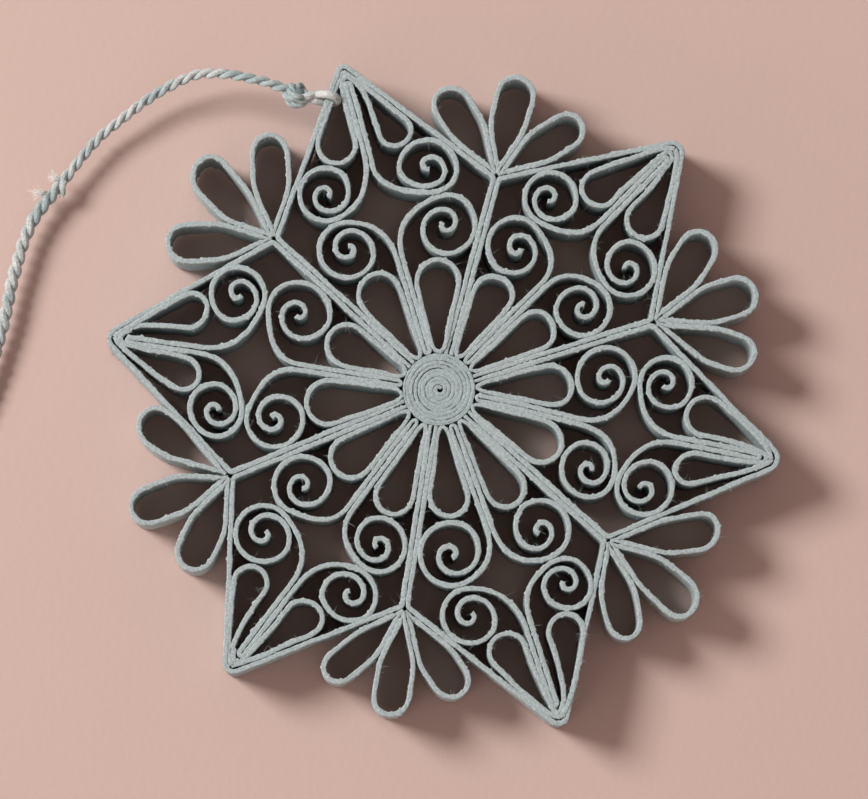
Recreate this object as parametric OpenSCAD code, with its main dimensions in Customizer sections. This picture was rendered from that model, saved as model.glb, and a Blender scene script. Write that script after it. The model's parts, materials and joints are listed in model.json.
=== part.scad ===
// Six-pointed quilled paper star with a twisted hanging cord.
//
// The star lies flat: +Z goes up through the depth of the paper, the origin is the middle of the
// centre coil's underside, and +Y points to the tip that the cord is tied to.
// Each of the six points is a kite of bent paper strip. A kite's own frame has its axis along +Y
// and is worked out for its right-hand side only; the left-hand side is the mirror of a second
// right-hand side with its own sizes, because the star is hand made and no two sides are equal.

/* [Paper] */
// Depth of every paper strip, which is the star's thickness
strip_h = 10; // [6:0.5:12]
// Thickness of the paper
paper_t = 0.7; // [0.5:0.05:0.72]
// Gap that the glue leaves between two strips
glue_gap = 0.04; // [0.03:0.01:0.08]

/* [Star] */
// Radius of the tight coil in the middle
coil_r = 5.3; // [5:0.1:5.5]
// Distance between the coil's turns, which squeeze each other
coil_pitch = 0.6; // [0.5:0.02:0.7]
// Distance from the middle to each sharp kite corner, starting at the cord's tip and going clockwise
tip_r = [50.2, 51.6, 51.7, 53, 52.2, 49.7]; // [49:0.1:54]
// How round the bend at each tip is: the radius of the strip's middle line
tip_round = [0.9, 1.6, 1.7, 1.4, 1.3, 1.5]; // [0.8:0.1:2]
// Direction of each kite's axis, in degrees from +X
tip_dir = [90, 29, -28.5, -86.5, -143.3, -205.6]; // [-360:0.1:360]
// Distance from the middle to each valley, starting clockwise of the cord's tip
valley_r = [32.2, 32.6, 32.7, 32.1, 32.7, 32.5]; // [32:0.1:33.5]
// Direction of each valley, in degrees from +X
valley_dir = [58.5, 1, -58.5, -116, -174, -239]; // [-360:0.5:360]

/* [Scrolls] */
// Radius of the inner scroll's ring in each kite, [left, right]
inner_ring_r = [[4.05, 4.35], [4.2, 4], [4.2, 4.1], [4.2, 4.6], [3.95, 4.2], [4.1, 4.6]]; // [3.8:0.05:4.7]
// Distance of that ring's middle along the kite's axis, [left, right]
inner_ring_y = [[23.4, 23], [23, 23.3], [23.5, 23.9], [24.2, 23.2], [23.5, 23.1], [23, 22]]; // [22:0.1:24.5]
// Gap between that ring and the spoke, [left, right]
inner_ring_gap = [[0.7, 0], [0, 0], [0, 0.9], [0, 0], [0, 0], [0, 0]]; // [0:0.1:1]
// Radius of the tip scroll's ring in each kite, [left, right]
tip_ring_r = [[3.9, 3.85], [3.8, 4], [3.8, 3.95], [3.8, 4], [3.9, 4.1], [3.85, 4]]; // [3.7:0.05:4.2]
// Where the inner scroll's two legs part, along the kite's axis
inner_fork_y = [20, 21.5, 20.5, 21, 21.5, 20.5]; // [19:0.5:22]
// Where the tip scroll's two legs part, along the kite's axis
tip_fork_y = [35.5, 34.5, 35.5, 37, 35.5, 35.5]; // [34:0.5:37]
// How far each scroll winds past its ring's joint, in degrees: inner left, inner right, tip left, tip right
winding = [[735, 700, 705, 725], [690, 725, 715, 690], [725, 745, 690, 730],
           [700, 745, 700, 680], [740, 715, 700, 735], [715, 690, 730, 715]]; // [670:5:750]

/* [Petals] */
// Gap between a tip teardrop's round end and the kite's axis strips, [left, right]; below 0 the
// teardrop lies on the axis strips and that gap is between it and the wall
teardrop_lean = [[0.1, 1.1], [-1, 0.1], [0.1, -1.3], [0.8, -0.4], [-0.4, 1.4], [-1.2, 1.5]]; // [-1.5:0.1:1.5]
// Length of the three fan petals at each valley, in clockwise order
fan_length = [[14.6, 15, 14.8], [15.2, 15.6, 15.2], [16, 15.8, 14.4],
              [14.8, 15.6, 15], [14.8, 15.2, 15.2], [15.6, 15.4, 14.4]]; // [13.6:0.2:16.4]
// Half-width of the three fan petals at each valley, in clockwise order
fan_half = [[2.55, 2.45, 2.5], [2.6, 2.7, 2.5], [2.45, 2.5, 2.6],
            [2.6, 2.4, 2.3], [2.6, 2.5, 2.6], [2.7, 2.6, 2.6]]; // [2.2:0.05:2.8]
// Share of the valley's opening where each fan petal ends, clockwise, as parts of the whole:
// the first petal lies on one wall, each next one on the petal before it
fan_share = [[0.33, 0.67, 1], [0.33, 0.66, 0.95], [0.3, 0.64, 1],
             [0.33, 0.67, 1], [0.33, 0.67, 1], [0.33, 0.67, 1]]; // [0.28:0.01:1]
// Share of the opening where the last fan petal starts
fan_last_start = [0.67, 0.66, 0.64, 0.67, 0.74, 0.67]; // [0.6:0.01:0.75]

/* [Cord] */
// Diameter of the strand that loops through the paper
strand_d = 0.9; // [0.7:0.05:0.9]
// Diameter of the cord that the two strands are twisted into
cord_d = 1.8; // [1.5:0.1:1.8]
// Size of the knot next to the wall
knot_d = 4; // [3.4:0.1:4.2]
// Distance from the cord tip's sharp corner to the tie, along the left wall
tie_from_tip = 6.2; // [6.1:0.1:7]
// Direction from the wall to the knot, in degrees from +X
tie_dir = 150; // [145:1:156]
// Angle that the knot hangs below the wall's top edge, in degrees
tie_dip = 5; // [0:5:35]
// Distance from the wall's top edge to the middle of the knot
knot_reach = 5; // [4.9:0.1:6.6]
// Points that the hanging cord runs through after the knot, as it lies on a table
cord_points = [[-9.8, 49.6, 9.3], [-12.1, 51, 9.1], [-16.8, 53.6, 8.2], [-21.5, 54.9, 6.6], [-28, 53.9, 4.7],
               [-33.8, 51.8, 3.9], [-37.9, 50, 3.5], [-44.3, 45.6, 3.2], [-50.3, 41.1, 3], [-54.9, 34.5, 2.8],
               [-58.5, 27.9, 2.5], [-63.4, 20.2, 2], [-68.7, 13.4, 1.6], [-74, 8.5, 1.1]];
// Size of the knot at the cord's far end
end_knot_d = 3; // [2.6:0.1:3.4]
// Inner diameter of the loop that the star hangs by
hanging_loop_d = 9; // [6:0.5:14]

/* [Hidden] */
places = ["top", "upper_right", "lower_right", "bottom", "lower_left", "upper_left"];
sides = ["left", "right"];
fans = ["a", "b", "c"];
kites = [0:5];
paper = "lightsteelblue";
twine = "lightgray";

pitch = paper_t + glue_gap;             // centreline to centreline of two glued strips
fold_r = paper_t / 2 + 0.05;            // centreline radius of a strip folded back on itself
stem_side = fold_r + pitch;             // centreline of a strip glued along a kite's axis strips
spoke_side = 1.5 * pitch;               // the same for a spoke, from the line between its two strips
arc_step = 8;                           // degrees per facet of an arc
fold_step = 30;                         // degrees per facet of a tight fold
eye_r = 0.5;                            // radius at the inner end of a scroll
joint_turn = 15;                        // degrees before its top or bottom where a scroll's leg meets its ring
narrow_r = 0.42;                        // least centreline radius of a loop's narrow end
valley_round = 0.6;                     // centreline radius of the bend at a valley
fan_bend = 6;                           // centreline radius of the bend in a fan petal's leg

tie_ring_r = 1.35;                      // centreline radius of the loop through the paper
tie_below_top = 0.45;                   // middle of that loop below the strip's top edge
tie_hole_r = 0.8;                       // hole in the two layers of paper
neck_d = 1.6;                           // the two strands side by side between loop and knot
neck_from = 1.55;                       // where they start, clear of the wall, from that loop's middle
knot_gap = 0.05;                        // clearance between neighbouring pieces of the cord

// ---- Plane geometry ----

function dir(a) = [cos(a), sin(a)];
function turned(p, a) = [p.x * cos(a) - p.y * sin(a), p.x * sin(a) + p.y * cos(a)];
function mirrored(path) = [for (p = path) [-p.x, p.y]];
function reversed(path) = [for (i = [len(path) - 1:-1:0]) path[i]];
function heading(v) = atan2(v.y, v.x);

// Root of f between lo and hi, where f rises through zero
function solve(f, lo, hi, steps = 30) =
    let (mid = (lo + hi) / 2)
    steps == 0 ? mid : f(mid) > 0 ? solve(f, lo, mid, steps - 1) : solve(f, mid, hi, steps - 1);

function arc(c, r, a0, a1, step = arc_step) =
    let (n = max(2, ceil(abs(a1 - a0) / step - 0.01)))
    [for (i = [0:n]) c + r * dir(a0 + (a1 - a0) * i / n)];

function bezier(p0, p1, p2, p3, n = 14) =
    [for (i = [0:n]) let (t = i / n, u = 1 - t)
        u * u * u * p0 + 3 * u * u * t * p1 + 3 * u * t * t * p2 + t * t * t * p3];

// Arc that rounds the corner at b between a and c
function bend(a, b, c, r) =
    let (ua = (a - b) / norm(a - b),
         uc = (c - b) / norm(c - b),
         half = acos(ua * uc) / 2,
         middle = b + (ua + uc) / norm(ua + uc) * r / sin(half),
         a0 = heading(b + ua * r / tan(half) - middle),
         swing = heading(turned(b + uc * r / tan(half) - middle, -a0)))
    arc(middle, r, a0, a0 + swing);

// Path through corners, each rounded by the radius of the same place in radii
function rounded(corners, radii) =
    let (last = len(corners) - 1)
    [for (i = [0:last])
        each (i == 0 || i == last ? [corners[i]]
              : bend(corners[i - 1], corners[i], corners[i + 1], radii[i]))];

// Path round a small circle and a large one, with its ends half a glue gap off the line between them
function loop(small, r_small, large, r_large) =
    let (axis = large - small,
         a = heading(axis),
         taper = asin((r_large - r_small) / norm(axis)),
         seam = asin(glue_gap / 2 / r_small),
         facets = ceil((90 + taper) / fold_step),
         step = (90 + taper - seam) / facets)
    concat(arc(small, r_small, a - 180 + seam, a - 90 - taper, step),
           arc(large, r_large, a - 90 - taper, a + 90 + taper),
           arc(small, r_small, a + 90 + taper, a + 180 - seam, step));

// ---- Strips of paper ----

function spaced(path) =
    [for (i = [0:len(path) - 1]) if (i == 0 || norm(path[i] - path[i - 1]) > 0.01) path[i]];

function across(path, i) =
    let (last = len(path) - 1,
         v = path[min(i + 1, last)] - path[max(i - 1, 0)])
    [-v.y, v.x] / norm(v);

function strip_outline(path, width) =
    let (p = spaced(path),
         left = [for (i = [0:len(p) - 1]) p[i] + across(p, i) * width / 2],
         right = [for (i = [0:len(p) - 1]) p[i] - across(p, i) * width / 2])
    concat(left, reversed(right));

module strip(path) {
    linear_extrude(strip_h) polygon(strip_outline(path, paper_t));
}

// Strip closed round the two circles of ends = [small, r_small, large, r_large]
module closed_strip(ends) {
    t = paper_t / 2;
    outer = loop(ends[0], ends[1] + t, ends[2], ends[3] + t);
    inner = loop(ends[0], ends[1] - t, ends[2], ends[3] - t);
    linear_extrude(strip_h) polygon(concat(outer, reversed(inner)));
}

// ---- One side of a kite, in the kite's frame: k is the kite, s is 0 for left and 1 for right ----

// Angle from the kite's axis to the spoke on that side
function spoke_angle(k, s) = s == 1 ? tip_dir[k] - valley_dir[k]
                           : valley_dir[(k + 5) % 6] - tip_dir[k] + (k == 0 ? 360 : 0);
function side_valley_r(k, s) = s == 1 ? valley_r[k] : valley_r[(k + 5) % 6];

// Corner of the kite's strip at the valley
function valley_corner(k, s) =
    let (h = spoke_angle(k, s))
    side_valley_r(k, s) * [sin(h), cos(h)] + pitch / 2 * [-cos(h), sin(h)];

function spoke_start(k, s) =
    let (h = spoke_angle(k, s))
    (coil_r + glue_gap) * [sin(h), cos(h)] + pitch / 2 * [-cos(h), sin(h)];

// Angle between the kite's axis and its wall
function wall_angle(k, s) =
    let (c = valley_corner(k, s))
    atan2(c.x, tip_r[k] - c.y);

function wall_along(k, s) = [sin(wall_angle(k, s)), -cos(wall_angle(k, s))];
function wall_inward(k, s) = [-cos(wall_angle(k, s)), -sin(wall_angle(k, s))];

// Circle of radius r that touches the axis strips and the spoke, both at a gap of slack
function petal_circle(k, s, r) =
    let (h = spoke_angle(k, s),
         x = stem_side + r)
    [x, (spoke_side + r + x * cos(h)) / sin(h)];

function inner_ring(k, s) =
    let (h = spoke_angle(k, s),
         r = inner_ring_r[k][s],
         y = inner_ring_y[k][s])
    [(y * sin(h) - spoke_side - r - inner_ring_gap[k][s]) / cos(h), y];

// The tip ring touches the wall and the inner ring
function tip_ring(k, s) =
    let (r = tip_ring_r[k][s],
         start = [0, tip_r[k]] + wall_inward(k, s) * (r + pitch),
         target = inner_ring(k, s),
         reach = r + inner_ring_r[k][s] + pitch,
         nearest = (target - start) * wall_along(k, s),
         u = solve(function (u) reach - norm(start + u * wall_along(k, s) - target), 0, nearest))
    start + u * wall_along(k, s);

// Circle of radius r between the axis strips and the wall of a kite's tip
function teardrop_circle(k, s, r, lean) =
    let (x = stem_side + max(lean, 0) + r,
         off_wall = pitch + max(-lean, 0) + r,
         b = wall_angle(k, s))
    [x, tip_r[k] - (off_wall + x * cos(b)) / sin(b)];

// Spiral from a ring's joint at angle a0 into its eye, turning clockwise when turn is -1
function spiral(c, r, a0, wind, turn, opening, power) =
    let (n = ceil(wind / arc_step))
    [for (i = [0:n]) let (left = wind * (1 - i / n),
                          radius = eye_r + (r - eye_r) * pow(min(1, left / opening), power))
        c + radius * dir(a0 + turn * (wind - left))];

// Half of an inner scroll, from the axis to the eye
function inner_half(k, s) =
    let (c = inner_ring(k, s),
         r = inner_ring_r[k][s],
         joint = 90 + joint_turn,
         fork = [fold_r, inner_fork_y[k]],
         meet = c + r * dir(joint),
         span = norm(meet - fork))
    concat([[fold_r, 0.6 * inner_fork_y[k]]],
           bezier(fork, fork + [0, 0.45 * span], meet - 0.4 * span * dir(joint - 90), meet),
           spiral(c, r, joint, winding[k][s], -1, 490, 1.8));

// Half of a tip scroll, from the axis to the eye
function tip_half(k, s) =
    let (c = tip_ring(k, s),
         r = tip_ring_r[k][s],
         joint = -90 - joint_turn,
         fork = [fold_r, tip_fork_y[k]],
         meet = c + r * dir(joint),
         span = norm(meet - fork))
    concat([[fold_r, 0.5 * (tip_r[k] + tip_fork_y[k])]],
           bezier(fork, fork - [0, 0.45 * span], meet - 0.4 * span * dir(joint + 90), meet),
           spiral(c, r, joint, winding[k][2 + s], 1, 450, 1.6));

// ---- Pieces of the star ----

module at_kite(k) {
    rotate(tip_dir[k] - 90) children();
}

module centre_coil() {
    turns = floor((coil_r - 1) / coil_pitch);
    seam_w = 0.08;
    seam_depth = 0.6;
    hole_r = 0.35;
    seam = [for (a = [0:12:turns * 360]) (hole_r + coil_pitch * (0.5 + a / 360)) * dir(a)];
    color(paper) difference() {
        cylinder(h = strip_h, r = coil_r, $fn = 90);
        translate([0, 0, -1]) cylinder(h = strip_h + 2, r = hole_r, $fn = 24);
        translate([0, 0, strip_h - seam_depth]) linear_extrude(seam_depth + 1)
            polygon(strip_outline(seam, seam_w));
    }
}

module kite_frame(k) {
    corners = [mirrored([spoke_start(k, 0)])[0], mirrored([valley_corner(k, 0)])[0], [0, tip_r[k]],
               valley_corner(k, 1), spoke_start(k, 1)];
    color(paper) difference() {
        at_kite(k) strip(rounded(corners, [0, valley_round, tip_round[k], valley_round, 0]));
        if (k == 0) tie_hole();
    }
}

module inner_scroll(k) {
    fold = arc([0, coil_r + glue_gap + fold_r + paper_t / 2], fold_r, 180, 360, fold_step);
    color(paper) at_kite(k) strip(concat(reversed(mirrored(inner_half(k, 0))), fold, inner_half(k, 1)));
}

module tip_scroll(k) {
    fold_y = tip_r[k] - 2.35 - fold_r;
    fold = arc([0, fold_y], fold_r, 180, 0, fold_step);
    color(paper) at_kite(k) strip(concat(reversed(mirrored(tip_half(k, 0))), fold, tip_half(k, 1)));
}

// Closed petal between a spoke and the axis strips, from the coil to the inner scroll
function inner_petal_ends(k, s) =
    let (ring = inner_ring(k, s),
         reach = inner_ring_r[k][s] + pitch,
         off_coil = coil_r + glue_gap + paper_t / 2,
         at_coil = solve(function (r) norm(petal_circle(k, s, r)) - r - off_coil, 0.1, 2),
         narrow = max(at_coil, narrow_r),
         wide = solve(function (r) r + reach - norm(petal_circle(k, s, r) - ring), 2, 5))
    [petal_circle(k, s, narrow), narrow, petal_circle(k, s, wide), wide];

module inner_petal(k, s) {
    color(paper) at_kite(k) mirror([1 - s, 0]) closed_strip(inner_petal_ends(k, s));
}

// Closed teardrop between the wall and the axis strips, from the tip to the tip scroll
function teardrop_ends(k, s) =
    let (lean = teardrop_lean[k][s],
         reach = tip_ring_r[k][s] + pitch,
         ring = tip_ring(k, s),
         wide = solve(function (r) r + reach - norm(teardrop_circle(k, s, r, lean) - ring), 1, 4),
         narrow_at = teardrop_circle(k, s, narrow_r, 0))
    [narrow_at, narrow_r, teardrop_circle(k, s, wide, lean), wide];

module tip_teardrops(k) {
    color(paper) difference() {
        at_kite(k)
            for (s = [0:1])
                mirror([1 - s, 0]) closed_strip(teardrop_ends(k, s));
        if (k == 0) tie_hole();
    }
}

// A valley's frame is the star's own: the wall clockwise of the valley heads along fan_walls[0]
function fan_walls(v) =
    let (next = (v + 1) % 6,
         here = turned(wall_along(v, 1), tip_dir[v] - 90),
         after = turned(mirrored([wall_along(next, 0)])[0], tip_dir[next] - 90),
         a0 = heading(-after),
         a1 = heading(-here))
    [a0, a1 < a0 ? a1 + 360 : a1];

// Where the two walls' outer faces meet, half a glue gap out
function fan_origin(v) =
    let (walls = fan_walls(v),
         corner = turned(valley_corner(v, 1), tip_dir[v] - 90),
         outward = turned(-wall_inward(v, 1), tip_dir[v] - 90),
         spoke = dir(valley_dir[v]),
         base = corner + outward * pitch / 2,
         along = dir(walls[1]),
         off = base - (base * spoke) * spoke)
    base - along * ((off * along) / (1 - pow(along * spoke, 2)));

// Petal i of valley v, counted clockwise
module fan_petal(v, i) {
    walls = fan_walls(v);
    opening = walls[1] - walls[0];
    from = i == 0 ? 0 : i == 1 ? fan_share[v][0] : fan_last_start[v];
    to = fan_share[v][i];
    taper = opening * (to - from) / 2;
    half = fan_half[v][i];
    off_edge = pitch / 2 / cos(taper);
    round_x = fan_length[v][i] - paper_t / 2 - half;
    leg = rounded([[(pitch / 2 + off_edge) / tan(taper), pitch / 2],
                   [(half + off_edge) / tan(taper), half],
                   [round_x, half]], [0, fan_bend, 0]);
    path = concat(leg, arc([round_x, 0], half, 90, -90), reversed([for (p = leg) [p.x, -p.y]]));
    color(paper) translate(fan_origin(v)) rotate(walls[1] - opening * (from + to) / 2) strip(path);
}

// ---- The cord ----

// Middle of the loop that passes through the left wall of the cord's tip and over its top edge
function tie_centre() =
    let (at = [0, tip_r[0]] + wall_along(0, 0) * tie_from_tip + wall_inward(0, 0) * pitch / 2)
    [-at.x, at.y, strip_h - tie_below_top];

function knot_centre() =
    tie_centre() + knot_reach * [cos(tie_dip) * cos(tie_dir), cos(tie_dip) * sin(tie_dir), -sin(tie_dip)];

// Direction in which the hanging cord ends, in degrees from +X
function cord_end_dir() =
    let (last = len(cord_points) - 1)
    heading(cord_points[last] - cord_points[last - 1]);

// The +Z axis turned to point from the middle of the tie's loop towards the knot, or level there
module towards_knot(distance, dip = tie_dip) {
    translate(tie_centre()) rotate([0, 90 + dip, tie_dir]) translate([0, 0, distance]) children();
}

module tie_hole() {
    reach = 1.3;
    drop = sqrt(tie_ring_r * tie_ring_r - pitch * pitch / 4);
    translate([0, 0, -drop]) towards_knot(-reach, 0) cylinder(h = 2 * reach, r = tie_hole_r, $fn = 32);
}

module cord_tie() {
    neck = knot_reach - knot_d / 2 - knot_gap - neck_from;
    color(twine) {
        translate(tie_centre()) rotate([90, 0, tie_dir]) rotate_extrude($fn = 60)
            translate([tie_ring_r, 0]) circle(d = strand_d, $fn = 24);
        towards_knot(neck_from) cylinder(h = neck, d = neck_d, $fn = 32);
    }
}

module cord_knot() {
    color(twine) translate(knot_centre()) sphere(d = knot_d, $fn = 48);
}

// Catmull-Rom curve through points, with its ends heading straight
function smooth(points, n = 6) =
    let (last = len(points) - 1)
    [for (i = [0:last - 1], j = [0:n - 1])
        let (a = points[max(i - 1, 0)], b = points[i], c = points[i + 1], d = points[min(i + 2, last)],
             t = j / n)
        0.5 * (2 * b + (c - a) * t + (2 * a - 5 * b + 4 * c - d) * t * t
               + (3 * b - a - 3 * c + d) * t * t * t),
     points[last]];

// Round cord along a curve in space that never points straight up
module tube(path, d, facets = 12) {
    last = len(path) - 1;
    rings = [for (i = [0:last])
        let (v = path[min(i + 1, last)] - path[max(i - 1, 0)],
             side = cross(v, [0, 0, 1]) / norm(cross(v, [0, 0, 1])),
             up = cross(side, v) / norm(v))
        for (j = [0:facets - 1])
            path[i] + d / 2 * (cos(360 * j / facets) * side + sin(360 * j / facets) * up)];
    walls = [for (i = [0:last - 1], j = [0:facets - 1])
        let (a = i * facets + j, b = i * facets + (j + 1) % facets)
        [a, a + facets, b + facets, b]];
    caps = [[for (j = [0:facets - 1]) j], [for (j = [facets - 1:-1:0]) last * facets + j]];
    polyhedron(rings, concat(walls, caps));
}

module hanging_cord() {
    away = cord_points[0] - knot_centre();
    start = knot_centre() + away / norm(away) * (knot_d / 2 + 2 * knot_gap);
    color(twine) tube(smooth(concat([start], cord_points)), cord_d);
}

// Level, in line with the cord's end and the given distance beyond it
module beyond_cord(distance, height) {
    end = cord_points[len(cord_points) - 1];
    translate([end.x, end.y, height]) rotate(cord_end_dir()) translate([distance, 0, 0]) children();
}

module cord_end_knot() {
    color(twine) beyond_cord(knot_gap + end_knot_d / 2, end_knot_d / 2) sphere(d = end_knot_d, $fn = 48);
}

module cord_end_loop() {
    ring_r = (hanging_loop_d + strand_d) / 2;
    color(twine) beyond_cord(2 * knot_gap + end_knot_d + strand_d / 2 + ring_r, strand_d / 2)
        rotate_extrude($fn = 90) translate([ring_r, 0]) circle(d = strand_d, $fn = 24);
}

for (k = kites) {
    kite_frame(k);
    inner_scroll(k);
    tip_scroll(k);
    tip_teardrops(k);
    for (s = [0:1])
        inner_petal(k, s);
    for (f = [0:2])
        fan_petal(k, f);
}
centre_coil();
cord_tie();
cord_knot();
hanging_cord();
cord_end_knot();
cord_end_loop();
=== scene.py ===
"""Looks of a quilled paper star with a hanging cord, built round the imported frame.

Each strip of paper is rebuilt along the middle line of its CAD outline as a soft, fibrous ribbon
with ragged cut edges. The cord, its tie and its knots are two strands of twisted yarn.
Working lengths are in millimetres and are turned into metres when a mesh is made.
"""

import json
import math

import bmesh
import bpy
import numpy as np
from mathutils import Matrix, Vector


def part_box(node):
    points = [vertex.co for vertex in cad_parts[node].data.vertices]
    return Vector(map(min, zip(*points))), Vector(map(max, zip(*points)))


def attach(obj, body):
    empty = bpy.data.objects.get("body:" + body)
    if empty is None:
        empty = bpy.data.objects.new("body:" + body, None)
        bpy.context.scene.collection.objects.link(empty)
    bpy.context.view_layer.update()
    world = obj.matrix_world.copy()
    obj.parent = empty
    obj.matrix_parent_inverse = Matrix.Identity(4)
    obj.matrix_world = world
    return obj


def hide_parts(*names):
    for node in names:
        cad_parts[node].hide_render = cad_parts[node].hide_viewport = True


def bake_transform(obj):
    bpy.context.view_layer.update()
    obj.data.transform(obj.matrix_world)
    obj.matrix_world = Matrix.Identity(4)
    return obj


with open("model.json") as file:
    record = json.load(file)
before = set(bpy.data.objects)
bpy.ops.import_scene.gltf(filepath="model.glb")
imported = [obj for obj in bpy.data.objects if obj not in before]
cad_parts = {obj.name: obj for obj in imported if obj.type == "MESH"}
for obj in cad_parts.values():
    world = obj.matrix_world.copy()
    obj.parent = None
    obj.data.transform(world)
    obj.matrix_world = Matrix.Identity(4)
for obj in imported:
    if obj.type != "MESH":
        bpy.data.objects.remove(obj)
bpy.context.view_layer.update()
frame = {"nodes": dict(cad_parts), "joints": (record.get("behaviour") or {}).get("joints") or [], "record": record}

MM = 0.001
RNG = np.random.default_rng(20)

# ---- Strips of paper ----
STATION = 0.2            # between neighbouring cross-sections along a strip
CORNER = 0.11            # how far the rounding of a cut edge reaches down the side
SIDE_ROWS = (0.6, 1.6)   # further rows of points below a cut edge
TOP_COLUMNS = (-0.9, -0.62, -0.31, 0.0, 0.31, 0.62, 0.9)   # across a cut face, in half-thicknesses
UNDER_COLUMNS = (0.88, 0.45, 0.0, -0.45, -0.88)
EDGE_DROP = 0.035        # how much lower a cut face is at its outermost column
NEXT_DROP = 0.012        # and at the next one
CORNER_CUT = 0.45        # how far the rounding has the look of a cut face
SWELL = 1.05             # how much the fibres fill a strip out beyond its CAD thickness
# Unevenness as (amount, length) waves. The thickness's amounts are shares of it, the others are mm.
THICKNESS_WAVES = ((0.05, 6.0), (0.07, 1.6))
SIDE_WAVES = ((0.018, 0.6),)
EDGE_WAVES = ((0.055, 0.3), (0.045, 1.3))
STREAK_WAVES = ((0.03, 0.5), (0.02, 0.25))
TOP_WAVES = ((0.05, 5.0),)
BURR_CHANCE = 0.045      # chance of a torn burr at each station of a cut edge
BURR_SIZE = (0.05, 0.2)
BURR_REACH = 0.7         # how far down the side an uneven edge drags the paper along
TOP_REACH = 1.0          # how far down the side an uneven top drags the paper along
SEAM_WAVE = 3.5          # length over which the seams beside a loop open and close
UNEVEN_TOPS = 0.1        # how much higher or lower than the others a strip may stand
BY_COIL = 4.0            # from the coil's rim, how far out the strips are pulled in against it
BY_COIL_THIN = 0.72      # how thin the strips are pressed where they meet the coil
BY_COIL_GAP = 0.02       # between the coil and a strip's end
PETAL_FLARE = (0.3, 0.9)   # how far an inner petal's end is spread where it meets the coil
FLARE_REACH = 2.2
TIP_WRAP = 0.76          # below a kite's tip, where the teardrops' strip lies inside the frame's bend
TIP_CLOSE = 1.3          # below the tip, where the teardrops' other legs meet
CLOSE_GAP = 0.1          # and how far beside the point's axis that is
TIP_FOLD = 2.65          # below the tip, where the tip scroll is folded
FOLD_REACH = 6.0         # how far down from its fold the tip scroll is shifted
PINCHED = 0.7            # length of a teardrop's pinched end that is opened into the tip
INSET = {"tip_teardrops": 0.24, "inner_petal": 0.16, "kite_frame": 0.08}   # loops drawn in, at most
RISE = (0.1, 0.4)        # how far the strips' lower edges stand off the floor
RISE_RAISED = (0.35, 0.6)   # and those on the side where the star stands up a little
EASING = 2               # rounds of smoothing that take the corners out of a strip's middle line
PETAL_EASING = 30        # and out of a petal's
INTO_VALLEY = 0.55       # how far the fan petals' ends are pushed past the corner where they meet
VALLEY_THIN = 0.6        # how thin they are pressed there
# Places where the strips were glued a little out of true: where, how far they are moved, and reach
OUT_OF_TRUE = (
    ((-24.0, 41.3), (1.0, 0.9), 6), ((-13.4, 41.1), (0.2, 0.8), 5), ((-31.3, 31.2), (0.3, 0.7), 5),
    ((-26.0, 22.0), (0.6, 0.7), 7), ((-41.8, 7.0), (0.6, 1.0), 6), ((-22.5, -28.0), (0.9, -0.3), 7),
    ((-12.0, -42.5), (0.6, -0.2), 6), ((7.0, -36.0), (0.7, 0.2), 6), ((25.0, -43.0), (-0.7, -0.8), 6),
    ((24.0, -22.0), (-0.8, -0.2), 6), ((34.0, -30.3), (0.4, 0.7), 5), ((22.0, -6.5), (-0.3, -0.6), 6),
    ((45.9, -7.9), (0.6, 0.2), 5), ((28.9, 38.9), (0.5, -0.6), 5), ((9.7, 44.6), (-0.7, 0.6), 5),
    ((16.9, 16.3), (0.2, -0.7), 5), ((4.0, -26.6), (-0.2, -0.5), 5), ((43.0, -17.4), (0.5, 0.1), 5),
    ((24.0, 22.0), (-0.5, 0.3), 5), ((10.2, 28.7), (0.6, -0.2), 5), ((0.7, 31.5), (-0.7, 0.2), 4),
    ((-6.9, 23.4), (0.5, 0.1), 4), ((12.0, -43.0), (0.6, -0.3), 5))
FAN_LONGER = 1.035       # how much longer the fan petals are, seen from the valley's corner
RAISED = {kind + place for place in ("upper_left", "top") for kind in
          ("kite_frame_", "tip_teardrops_")} | {"fan_petal_upper_left_" + f for f in "abc"}

# ---- Twine ----
YARN_STATION = 0.15
YARN_SIDES = 22
YARN_RIDGES = 7          # ridges of fibre round a strand
RIDGE_HEIGHT = 0.075     # as a share of the strand's radius
RIDGE_LAY = 2.6          # length in which a ridge goes once round the strand
YARN_WAVES = ((0.05, 0.8),)    # unevenness of a strand's surface, as shares of its radius
YARN_SWELL = ((0.05, 2.5),)    # and of its thickness
GROOVE_SHADE_MOST = 0.85       # how dark the painted shade between two strands is, at its deepest
GROOVE_SHADE_FROM, GROOVE_SHADE_WIDE = 0.35, 0.42   # where the painted shade is deepest and where it ends, in cord radii
LAY = 4.1                # length in which the two strands go once round each other
CORD_STRAND = 0.47       # radius of one strand of the hanging cord
CORD_APART = 0.37        # from the cord's middle to the middle of a strand
NECK_STRAND, NECK_APART = 0.58, 0.45   # the same where the tie leaves the knot
CORD_TIGHT, CORD_LOOSE = 0.94, 1.15    # how thick the cord is before and beyond its worn place
CORD_EASES = 6.0         # length in which the one becomes the other
CAD_STRAND = 0.45        # radius of a single strand in the CAD
LOOP_STRAND = 0.42       # radius of the end loop's strand
TIE_INSIDE = 0.85        # share of its radius that the tie's loop has on the wall's inner side
TIE_ALONG = 0.6          # how far the tie has slipped up the wall along its hinge
TIE_HOLE_RADIUS = 0.95
TIE_HOLE_LENGTH = 2.6
TIE_HOLE_BELOW = 1.3     # from the middle of the tie's loop down to the middle of its hole


def node_points(node):
    """Vertices of a CAD node, in mm."""
    return np.array([v.co for v in frame["nodes"][node].data.vertices]) / MM


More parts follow.
